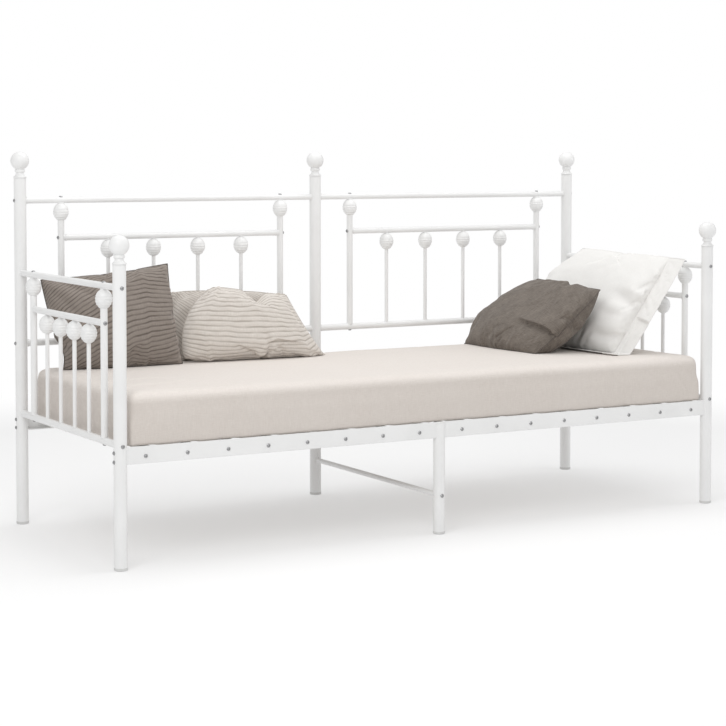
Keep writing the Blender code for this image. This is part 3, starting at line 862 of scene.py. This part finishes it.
# Lines on the mattress: points, depth and width. Top ones are (x, y) and front ones (x, z).
MATTRESS_TOP_CREASES = (
    (((-0.985, -0.245), (-0.934, -0.23), (-0.859, -0.218), (-0.698, -0.172)), 0.0035, 0.008),
    (((-0.985, -0.12), (-0.877, -0.097), (-0.8, -0.084), (-0.735, -0.093)), 0.003, 0.008),
    (((-0.76, -0.352), (-0.679, -0.35), (-0.6, -0.315)), 0.0022, 0.008),
    (((-0.93, -0.33), (-0.8, -0.345), (-0.64, -0.3)), 0.0016, 0.01),
    (((0.985, -0.2), (0.9, -0.215), (0.78, -0.19)), 0.002, 0.009),
)
MATTRESS_FRONT_CREASES = (
    (((-0.69, 0.45), (-0.694, 0.361)), 0.0016, 0.006),
    (((-0.663, 0.443), (-0.655, 0.375)), 0.0018, 0.006),
    (((-0.552, 0.45), (-0.556, 0.365)), 0.0014, 0.007),
    (((-0.88, 0.44), (-0.874, 0.37)), 0.001, 0.008),
    (((-0.25, 0.45), (-0.258, 0.38)), 0.001, 0.008),
    (((0.18, 0.445), (0.186, 0.372)), 0.001, 0.008),
    (((0.62, 0.45), (0.612, 0.38)), 0.0012, 0.008),
)
# Where a pillow presses into the mattress: middle, reach and depth.
PILLOW_HOLLOWS = (
    ((-0.745, 0.265), (0.24, 0.055), 0.004),
    ((-0.28, 0.255), (0.27, 0.06), 0.004),
    ((0.77, -0.02), (0.07, 0.2), 0.004),
    ((0.62, 0.12), (0.08, 0.15), 0.003),
)

# Pillows, in metres and in shares a and b of their half width and half height:
# - finer: how many cells each simulated cell becomes across the pillow and up it
# - corners, from the lower left one round, and how far the left, right and top edges bow outwards
# - depths of the front and the back, and sags, how much more of them is low down
# - pushes: a place (a, b), its reach and how far both faces are pushed there
# - folds and tucks: lines of points (a, b), depth and width
# - rib_turn: slope left of a turning place, that place, the width of the bend, and the tilt of all ribs
RIBBED = dict(
    finer=(3, 5), calm=0.6, sags=(0.1, 0.1), unevenness=0.0022,
    ribbed=True, rib_turn=(0.0, 0.0, 0.05, 0.0), stitch_depth=0.0, seam=0.0016,
    flange=None, pushes=(), folds=(), tucks=(),
)
PLAIN = dict(RIBBED, ribbed=False, unevenness=0.0016, calm=0.75)
RIB_HEIGHT = 0.0013
SEAM_ALLOWANCE, STITCH_INSET = 0.012, 0.007
PILLOW_SINK = 0.011  # how far a pillow's bottom edge settles
PILLOW_GAP = 0.0018  # how far it stays off the mattress, for its seam

# Where the white pillow's flange is kinked: the height at its seam, the slope of the kink and its depth.
BREAK_AT = -0.255
BREAK_SLOPE = 0.22
BREAK_DEPTH = 0.01
FLANGE_LIFT, FLANGE_RIPPLE, FLANGE_STITCHES = 0.009, 0.0016, 0.0012
TUCK_LIP = 0.7  # how far the upper side of a tuck hangs down, as a share of its depth

PILLOWS = {
    "pillow_light_ribbed_back": dict(
        RIBBED, slot="sand_rib", seed=11, size=(0.47, 0.22),
        corners=((-0.54, 0.333, FOOT), (-0.095, 0.333, FOOT), (-0.142, 0.333, 0.675), (-0.595, 0.333, 0.694)),
        bows=(0.0, 0.0, 0.09), depths=(0.022, 0.018), rib_turn=(0.0, 0.0, 0.05, 0.8),
        folds=((((-0.95, 0.2), (-0.7, 0.5), (-0.6, 0.95)), 0.005, 0.01),),
    ),
    "pillow_light_ribbed_front": dict(
        RIBBED, slot="sand_rib", seed=23, size=(0.42, 0.23),
        corners=((-0.514, 0.27, FOOT), (-0.045, 0.235, FOOT), (-0.172, 0.265, 0.677), (-0.452, 0.272, 0.716)),
        bows=(0.22, -0.05, 0.0), depths=(0.058, 0.034), sags=(0.22, 0.1),
        pushes=(
            ((0.2, 1.0), (0.18, 0.38), (0.0, 0.0, -0.034)),
            ((-1.0, -1.0), (0.14, 0.3), (-0.01, 0.0, 0.014)),
            ((-1.0, 1.0), (0.14, 0.3), (0.006, 0.0, -0.012)),
        ),
        folds=(
            (((0.08, -0.22), (0.1, -0.45), (0.02, -0.98)), 0.009, 0.009),
            (((0.15, -0.36), (0.3, -0.62), (0.34, -0.98)), 0.0035, 0.007),
            (((-0.95, 0.98), (-0.82, 0.72), (-0.9, 0.35)), 0.0045, 0.009),
            (((0.8, 0.72), (0.82, 0.3), (0.84, -0.15)), 0.003, 0.009),
        ),
        tucks=((((0.05, -0.4), (0.22, -0.3), (0.48, -0.38)), 0.005, 0.009),),
    ),
    "pillow_dark_ribbed": dict(
        RIBBED, slot="taupe_rib", seed=37, size=(0.42, 0.31),
        corners=((-0.94, 0.255, FOOT), (-0.548, 0.24, FOOT), (-0.586, 0.268, 0.79), (-0.987, 0.3, 0.751)),
        bows=(0.0, -0.04, -0.05), pushes=(((-1.0, -0.65), (0.3, 0.32), (0.018, 0.0, 0.0)),),
        depths=(0.058, 0.03), rib_turn=(0.62, -0.04, 0.04, 0.0),
        folds=(
            (((-1.0, -0.62), (-0.78, -0.38), (-0.55, -0.3)), 0.008, 0.01),
            (((-0.92, 0.8), (-0.62, 0.3), (-0.5, 0.05)), 0.0045, 0.011),
            (((-0.8, 0.92), (-0.4, 0.5), (-0.15, 0.35)), 0.004, 0.011),
            (((0.98, -0.66), (0.84, -0.6), (0.72, -0.62)), 0.0035, 0.006),
            (((0.98, -0.78), (0.82, -0.76), (0.66, -0.8)), 0.004, 0.007),
            (((0.42, -1.0), (0.43, -0.84), (0.36, -0.72)), 0.003, 0.006),
        ),
    ),
    "pillow_white_flanged": dict(
        PLAIN, slot="white_cotton", seed=41, size=(0.48, 0.37), finer=(4, 4),
        corners=((0.795, 0.315, FOOT), (0.8, -0.262, FOOT), (0.968, -0.337, 0.79), (0.968, 0.214, 0.802)),
        bows=(0.28, 0.03, 0.0), depths=(0.056, 0.095), sags=(0.35, 0.6), seam=0.0012,
        flange=(0.075, 0.055),
        folds=(
            (((0.42, 0.1), (0.68, -0.04), (0.98, -0.2)), 0.0095, 0.02),
            (((0.35, -0.22), (0.62, -0.3), (0.95, -0.36)), 0.003, 0.014),
            (((0.55, -0.62), (0.75, -0.68), (0.98, -0.66)), 0.007, 0.013),
            (((0.3, -0.95), (0.38, -0.7), (0.36, -0.5)), 0.005, 0.01),
            (((0.44, -0.98), (0.5, -0.8), (0.5, -0.62)), 0.0035, 0.008),
            (((-0.2, 0.98), (-0.1, 0.6), (0.05, 0.3)), 0.002, 0.016),
        ),
    ),
    "pillow_dark_plain": dict(
        PLAIN, slot="grey_linen", seed=59, size=(0.42, 0.31), finer=(4, 5),
        corners=((0.545, 0.318, FOOT), (0.55, -0.085, FOOT), (0.772, -0.145, 0.686), (0.765, 0.196, 0.703)),
        bows=(0.32, 0.11, -0.02), depths=(0.05, 0.085), stitch_depth=0.0009,
        folds=(
            (((0.25, -0.98), (0.3, -0.8), (0.26, -0.66)), 0.003, 0.01),
            (((-0.95, -0.8), (-0.75, -0.55), (-0.7, -0.3)), 0.003, 0.01),
        ),
        tucks=((((0.08, -0.24), (0.43, -0.32), (0.64, -0.34), (1.0, -0.42)), 0.015, 0.016),),
    ),
}


def rounded_block(low, high, top_radius, bottom_radius, cell):
    """A closed block with rounded edges, in cells of about that size."""
    low, high = np.array(low), np.array(high)
    counts = np.maximum(np.round((high - low) / cell).astype(int), 4)
    numbers, places, faces = {}, [], []

    def vertex(step):
        if step not in numbers:
            numbers[step] = len(places)
            point = low + (high - low) * np.array(step) / counts
            radius = top_radius if point[2] > (low[2] + high[2]) / 2 else bottom_radius
            inner = np.clip(point, low + radius, high - radius)
            away = point - inner
            places.append(inner + away * radius / max(np.linalg.norm(away), 1e-9))
        return numbers[step]

    for axis in range(3):
        u, v = (axis + 1) % 3, (axis + 2) % 3
        for end in (0, counts[axis]):
            for i in range(counts[u]):
                for j in range(counts[v]):
                    corners = []
                    for di, dj in ((0, 0), (1, 0), (1, 1), (0, 1)):
                        step = [0, 0, 0]
                        step[axis], step[u], step[v] = int(end), i + di, j + dj
                        corners.append(vertex(tuple(step)))
                    faces.append(corners if end else corners[::-1])
    return np.array(places), faces


def soft_piece(mesh, part, slot):
    """The cover that stands for a mattress or pillow of the CAD."""
    mesh.shade_smooth()
    mesh.materials.append(MATERIALS[slot])
    cover = added(f"{part}_cover", mesh)
    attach(cover, f"{part}_body")
    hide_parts(part)


MATTRESS_INSET = (0.003, 0.0015, -0.0009), (0.003, 0.003, 0.002)  # of its low and its high sides
MATTRESS_TOP_ROUND, MATTRESS_RIM_ROUND = 0.026, 0.003
MATTRESS_CELL = 0.0155
MATTRESS_SWELL = 0.0028
MATTRESS_SAG = 0.0022  # how far its underside sinks between two supports
RIM_CREASE = 0.85  # how sharp its lower rim stays


def mattress_block(low, high):
    """The cover before it is creased: a block whose faces swell, with a sharp lower rim, in fine cells."""
    places, faces = rounded_block(low, high, MATTRESS_TOP_ROUND, MATTRESS_RIM_ROUND, MATTRESS_CELL)
    held = np.flatnonzero(places[:, 2] < low[2] + 0.012)
    foam = dict(pressure=1.6, frames=12, bending=6.0, stretch=40.0, held=held)
    shift = cloth_inflated(places, faces, **foam) - places
    reach = np.linalg.norm(shift, axis=1, keepdims=True)
    places = places + shift * np.minimum(1.0, MATTRESS_SWELL / np.maximum(reach, 1e-9))
    mesh = mesh_of("mattress_block", places, faces)
    at_side = np.minimum(places[:, :2] - low[:2], high[:2] - places[:, :2]).min(1) < 0.004
    at_rim = at_side & (places[:, 2] < low[2] + 0.002)
    ends = np.empty(len(mesh.edges) * 2, np.int32)
    mesh.edges.foreach_get("vertices", ends)
    sharp = at_rim[ends.reshape(-1, 2)].all(1).astype(np.float32)
    mesh.attributes.new("crease_edge", "FLOAT", "EDGE").data.foreach_set("value", sharp * RIM_CREASE)
    block = added("mattress_block", mesh)
    block.modifiers.new("Finer", "SUBSURF").levels = 1
    graph = bpy.context.evaluated_depsgraph_get()
    mesh = bpy.data.meshes.new_from_object(block.evaluated_get(graph))
    bpy.data.objects.remove(block, do_unlink=True)
    return mesh


def make_mattress():
    """A foam mattress in a fitted cover, hollow under the pillows and creased. Returns its surface."""
    low, high = (np.array(corner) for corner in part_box("mattress"))
    low, high = low + MATTRESS_INSET[0], high - MATTRESS_INSET[1]
    mesh = mattress_block(low, high)
    points = np.array([v.co for v in mesh.vertices], float)
    normals = np.array([v.normal for v in mesh.vertices], float)
    x, y, z = points.T
    on_top = smoothstep(0.4, 0.9, normals[:, 2])
    on_front = smoothstep(0.4, 0.9, -normals[:, 1])
    on_side = smoothstep(0.4, 0.9, np.hypot(normals[:, 0], normals[:, 1]))
    out = 0.0011 * hills(x, y, 3, 0.34) * on_top
    out += 0.0007 * hills(x + y, z, 5, 0.16) * on_side
    for line, depth, width in MATTRESS_TOP_CREASES:
        out += crease(x, y, line, depth, width) * on_top
    for line, depth, width in MATTRESS_FRONT_CREASES:
        out += crease(x, z, line, depth, width) * on_front
    for (hollow_x, hollow_y), (reach_x, reach_y), depth in PILLOW_HOLLOWS:
        out -= depth * np.exp(-(((x - hollow_x) / reach_x) ** 4) - ((y - hollow_y) / reach_y) ** 2) * on_top
    points += normals * out[:, None]
    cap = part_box("centre_leg_cap")[1]
    away = np.maximum(np.abs(x) - cap.x, y - cap.y)
    for number in range(1, 2 * SLATS_PER_HALF + 1):
        middle, _, slat = axis_of(f"slat_{number:02d}")
        away = np.minimum(away, np.abs(x - middle.x) - (slat.x - middle.x))
    underside = 1 - smoothstep(0.002, 0.03, z - low[2])
    points[:, 2] -= MATTRESS_SAG * smoothstep(0.003, 0.030, away) * underside
    mesh.vertices.foreach_set("co", points.astype(np.float32).ravel())
    mesh.update()
    soft_piece(mesh, "mattress", "mattress_linen")
    return BVHTree.FromPolygons([Vector(p) for p in points], [tuple(f.vertices) for f in mesh.polygons])


def pillow_middle(pillow, a, b):
    """Points of a pillow's middle surface. a runs from -1 to 1 across it and b up it."""
    if pillow["flange"]:
        right_edge = 1 + 2 * pillow["flange"][0] / pillow["size"][0]
        a = (a + 1) / (right_edge + 1) * 2 - 1
        forward = np.clip(-1 - b, 0, None) * pillow["size"][1] / 2
        b = np.maximum(b, -1)
    left, right, top = pillow["bows"]
    pulled_a = a + np.where(a < 0, left, right) * a * (1 - b**2)
    pulled_b = b + top * np.clip(b, 0, None) * (1 - a**2)
    u, v = ((pulled_a + 1) / 2)[..., None], ((pulled_b + 1) / 2)[..., None]
    low_left, low_right, top_right, top_left = np.array(pillow["corners"])
    points = (1 - v) * ((1 - u) * low_left + u * low_right) + v * ((1 - u) * top_left + u * top_right)
    if pillow["flange"]:
        points[..., 0] -= forward
        points[..., 2] += FLANGE_LIFT * smoothstep(0.3, 1.0, forward / pillow["flange"][1])
    return points


def pillow_facing(pillow):
    """The direction that a pillow's front faces."""
    low_left, low_right, top_right, top_left = np.array(pillow["corners"])
    across = low_right - low_left + top_right - top_left
    facing = np.cross(across, top_left - low_left + top_right - low_right)
    return facing / np.linalg.norm(facing)


def rib_phase(pillow, x, y):
    """Height across the ribs, in metres of cloth. They turn by slope left of turn_at, over a smooth bend."""
    slope, turn_at, blend, tilt = pillow["rib_turn"]
    bend = blend * np.logaddexp(0, (turn_at - x) / blend)
    return y + slope * bend + tilt * x


def with_flange(pillow, sheet, flat_a, flat_b):
    """Adds a flat border to the right of a stuffed sheet and below it, two layers of cloth thick."""
    right, below = (2 * reach / size for reach, size in zip(pillow["flange"], pillow["size"]))
    step_a, step_b = flat_a[1] - flat_a[0], flat_b[1] - flat_b[0]
    more_a, more_b = round(right / step_a), round(below / step_b)
    for _ in range(more_a):
        sheet = np.concatenate([sheet, sheet[-1:] + (step_a, 0, 0)])
    for _ in range(more_b):
        sheet = np.concatenate([sheet[:, :1] - (0, step_b, 0), sheet], 1)
    flat_a = np.concatenate([flat_a, 1 + step_a * np.arange(1, more_a + 1)])
    flat_b = np.concatenate([-1 - step_b * np.arange(more_b, 0, -1), flat_b])
    return sheet, flat_a, flat_b


def pillow_relief(pillow, flat_a, flat_b, face):
    """How far a sheet stands out from its smooth shape and hangs over, and its cloth coordinates."""
    (width, height), seed = pillow["size"], pillow["seed"]
    x, y = flat_a * width / 2, flat_b * height / 2
    out = pillow["unevenness"] * (hills(x, y, seed, 0.13) + 0.35 * hills(x, y, seed + 1, 0.045))
    lip = np.zeros_like(x)
    if face > 0:
        for line, depth, reach in pillow["folds"]:
            out += crease(x, y, [(a * width / 2, b * height / 2) for a, b in line], depth, reach)
        for line, depth, reach in pillow["tucks"]:
            over = tuck(x, y, [(a * width / 2, b * height / 2) for a, b in line], depth, reach)
            out += over
            lip += TUCK_LIP * np.clip(over, 0, None)
    if pillow["flange"]:
        below_break = BREAK_AT - BREAK_SLOPE * (flat_a - 1) - flat_b
        out -= face * BREAK_DEPTH * smoothstep(0, 0.03, below_break) * smoothstep(1.0, 1.05, flat_a)
        out += FLANGE_RIPPLE * hills(x, y, seed + 3, 0.05) * smoothstep(1.0, 1.1, flat_a)
        from_stitches = np.minimum(1 - flat_a, 1 + flat_b) * height / 2
        out -= FLANGE_STITCHES * np.exp(-((from_stitches / 0.0022) ** 2))
    phase = y
    if pillow["ribbed"]:
        phase = rib_phase(pillow, x, y) + 0.0012 * hills(x, y, seed + 2, 0.06)
        out += RIB_HEIGHT * (np.abs(np.cos(math.pi * phase / RIB_PITCH)) ** 0.8 - 0.6)
    across = np.minimum(flat_a - flat_a[0, 0], flat_a[-1, 0] - flat_a) * width / 2
    upward = np.minimum(flat_b - flat_b[0, 0], flat_b[0, -1] - flat_b) * height / 2
    from_edge = np.minimum(across, upward)
    out *= smoothstep(0.0, SEAM_ALLOWANCE, from_edge)
    out -= pillow["stitch_depth"] * np.exp(-(((from_edge - STITCH_INSET) / 0.002) ** 2))
    return out, lip, np.stack([x, phase], -1)


def pillow_sheet(pillow, sheet, face):
    """World points of a pillow's front (face 1) or back (face -1) sheet, and its cloth coordinates."""
    sheet = finer(sheet, *pillow["finer"])
    flat_a, flat_b = (np.linspace(-1, 1, count) for count in sheet.shape[:2])
    if pillow["flange"]:
        sheet, flat_a, flat_b = with_flange(pillow, sheet, flat_a, flat_b)
    a, b, depth = np.moveaxis(sheet, -1, 0)
    flat_a, flat_b = np.meshgrid(flat_a, flat_b, indexing="ij")
    full, sag = (pillow[key][face < 0] for key in ("depths", "sags"))
    points = pillow_middle(pillow, a, b) + pillow_facing(pillow) * (full * depth * (1 - sag * b))[..., None]
    for (at_a, at_b), (reach_a, reach_b), push in pillow["pushes"]:
        weight = np.exp(-(((flat_a - at_a) / reach_a) ** 2) - ((flat_b - at_b) / reach_b) ** 2)
        points += weight[..., None] * np.array(push)
    out, lip, cloth = pillow_relief(pillow, flat_a, flat_b, face)
    points += face * surface_normals(points) * out[..., None]
    points[..., 2] -= lip
    return points, cloth


def make_pillow(name, pillow, mattress):
    """A stuffed cover of two sheets with a seam round them, settled on the mattress."""
    sheets = stuffed(*pillow["size"], pillow["calm"])
    shaped = [pillow_sheet(pillow, sheet, face) for sheet, face in zip(sheets, (1, -1))]
    front, back, count = sheet_numbers(*(cells - 1 for cells in shaped[0][0].shape[:2]))
    points, cloth = np.zeros((count, 3)), np.zeros((count, 2))
    for numbers, (places, coords) in ((back, shaped[1]), (front, shaped[0])):
        points[numbers], cloth[numbers] = places, coords
    rest_on(points, mattress, pillow["corners"])
    faces = np.concatenate([grid_faces(front), grid_faces(back, flip=True)])
    mesh = mesh_of(f"{name}_cover", points, faces)
    coords = cloth[faces.ravel()].astype(np.float32).ravel()
    mesh.uv_layers.new(name="cloth").data.foreach_set("uv", coords)
    soft_piece(mesh, name, pillow["slot"])
    edge = np.concatenate([front[:-1, 0], front[-1, :-1], front[:0:-1, -1], front[0, :0:-1]])
    seam = sweep(points[edge], pillow["seam"])
    add_piece(f"{name}_seam", seam, SEAMS[pillow["slot"]], f"{name}_body")


def rest_on(points, mattress, corners):
    """Settles a pillow's points on the mattress, flat where it touches."""
    foot, top = (choose(corner[2] for corner in corners) for choose in (min, max))
    share = np.clip((points[:, 2] - foot) / (top - foot), 0, 1)
    points[:, 2] -= PILLOW_SINK * (1 - share) ** 3
    for i in np.flatnonzero(points[:, 2] < foot + 0.02):
        hit = mattress.ray_cast(Vector((points[i, 0], points[i, 1], 1.0)), Vector((0, 0, -1)))[0]
        if hit is not None:
            points[i, 2] = max(points[i, 2], hit.z + PILLOW_GAP)


# ---- stage


def area_light(name, place, target, size, power):
    data = bpy.data.lights.new(name, "AREA")
    data.shape = "RECTANGLE"
    data.size, data.size_y = size
    data.energy = power
    light = added(name, data)
    light.location = place
    light.rotation_euler = (Vector(target) - light.location).to_track_quat("-Z", "Y").to_euler()


FLOOR_GLOW = 0.35  # how much of the floor's brightness is its own


def make_stage():
    """A pale floor that fades into the white surroundings, and soft lamps."""
    floor = added("floor", mesh_of("floor", *lathe([(0.0, 0.0), (2.0, 0.0), (6.0, 0.0), (30.0, 0.0)], 64)))
    n = Nodes("floor_paint", 0.8, Specular_IOR_Level=0.1)
    n.paint((0.93, 0.93, 0.93, 1.0))
    far = n.node("VectorMath", {0: n.coords()}, operation="LENGTH").outputs["Value"]
    glow = n.node("Emission", {"Color": (1, 1, 1, 1), "Strength": 1.0}).outputs["Emission"]
    reach = {"Value": far, "From Min": 1.6, "From Max": 3.4}
    fade = n.node("MapRange", reach, interpolation_type="SMOOTHSTEP").outputs["Result"]
    share = n.math("MAXIMUM", fade, FLOOR_GLOW)
    mix = n.node("MixShader", {0: share, 1: n.shader.outputs["BSDF"], 2: glow})
    n.plug(mix.outputs["Shader"], n.tree.nodes["Material Output"].inputs["Surface"])
    floor.data.materials.append(n.material)

    world = bpy.data.worlds.new("surroundings")
    bpy.context.scene.world = world
    world.use_nodes = True
    nodes, links = world.node_tree.nodes, world.node_tree.links
    seen, lit = nodes["Background"], nodes.new("ShaderNodeBackground")
    seen.inputs["Color"].default_value = lit.inputs["Color"].default_value = (1, 1, 1, 1)
    seen.inputs["Strength"].default_value = 1.0
    lit.inputs["Strength"].default_value = 0.62
    ray, blend = nodes.new("ShaderNodeLightPath"), nodes.new("ShaderNodeMixShader")
    links.new(ray.outputs["Is Camera Ray"], blend.inputs[0])
    links.new(lit.outputs["Background"], blend.inputs[1])
    links.new(seen.outputs["Background"], blend.inputs[2])
    links.new(blend.outputs["Shader"], nodes["World Output"].inputs["Surface"])

    area_light("key_light", (-2.6, -2.8, 3.2), (0.0, 0.0, 0.45), (2.6, 2.2), 62.0)
    area_light("top_light", (0.3, 0.2, 3.6), (0.0, 0.0, 0.4), (3.2, 2.4), 48.0)
    area_light("right_light", (3.6, -1.6, 1.8), (0.0, 0.0, 0.5), (1.8, 1.8), 14.0)


def make_camera():
    data = bpy.data.cameras.new("camera")
    data.sensor_width = 36.0
    data.lens = 95.46
    data.shift_y = -0.16
    camera = added("camera", data)
    camera.location = (-3.038, -5.202, 1.130)
    camera.rotation_euler = (math.radians(90 - 2.76), 0.0, math.radians(-29.96))
    bpy.context.scene.camera = camera
    bpy.context.scene.view_settings.view_transform = "Standard"


make_camera()
make_stage()
make_posts()
make_centre_leg()
for panel in PANELS:
    make_panel(*panel)
make_side_rails()
make_bolts()
finish_slats()
mattress_surface = make_mattress()
for pillow_name, pillow_spec in PILLOWS.items():
    make_pillow(pillow_name, pillow_spec, mattress_surface)
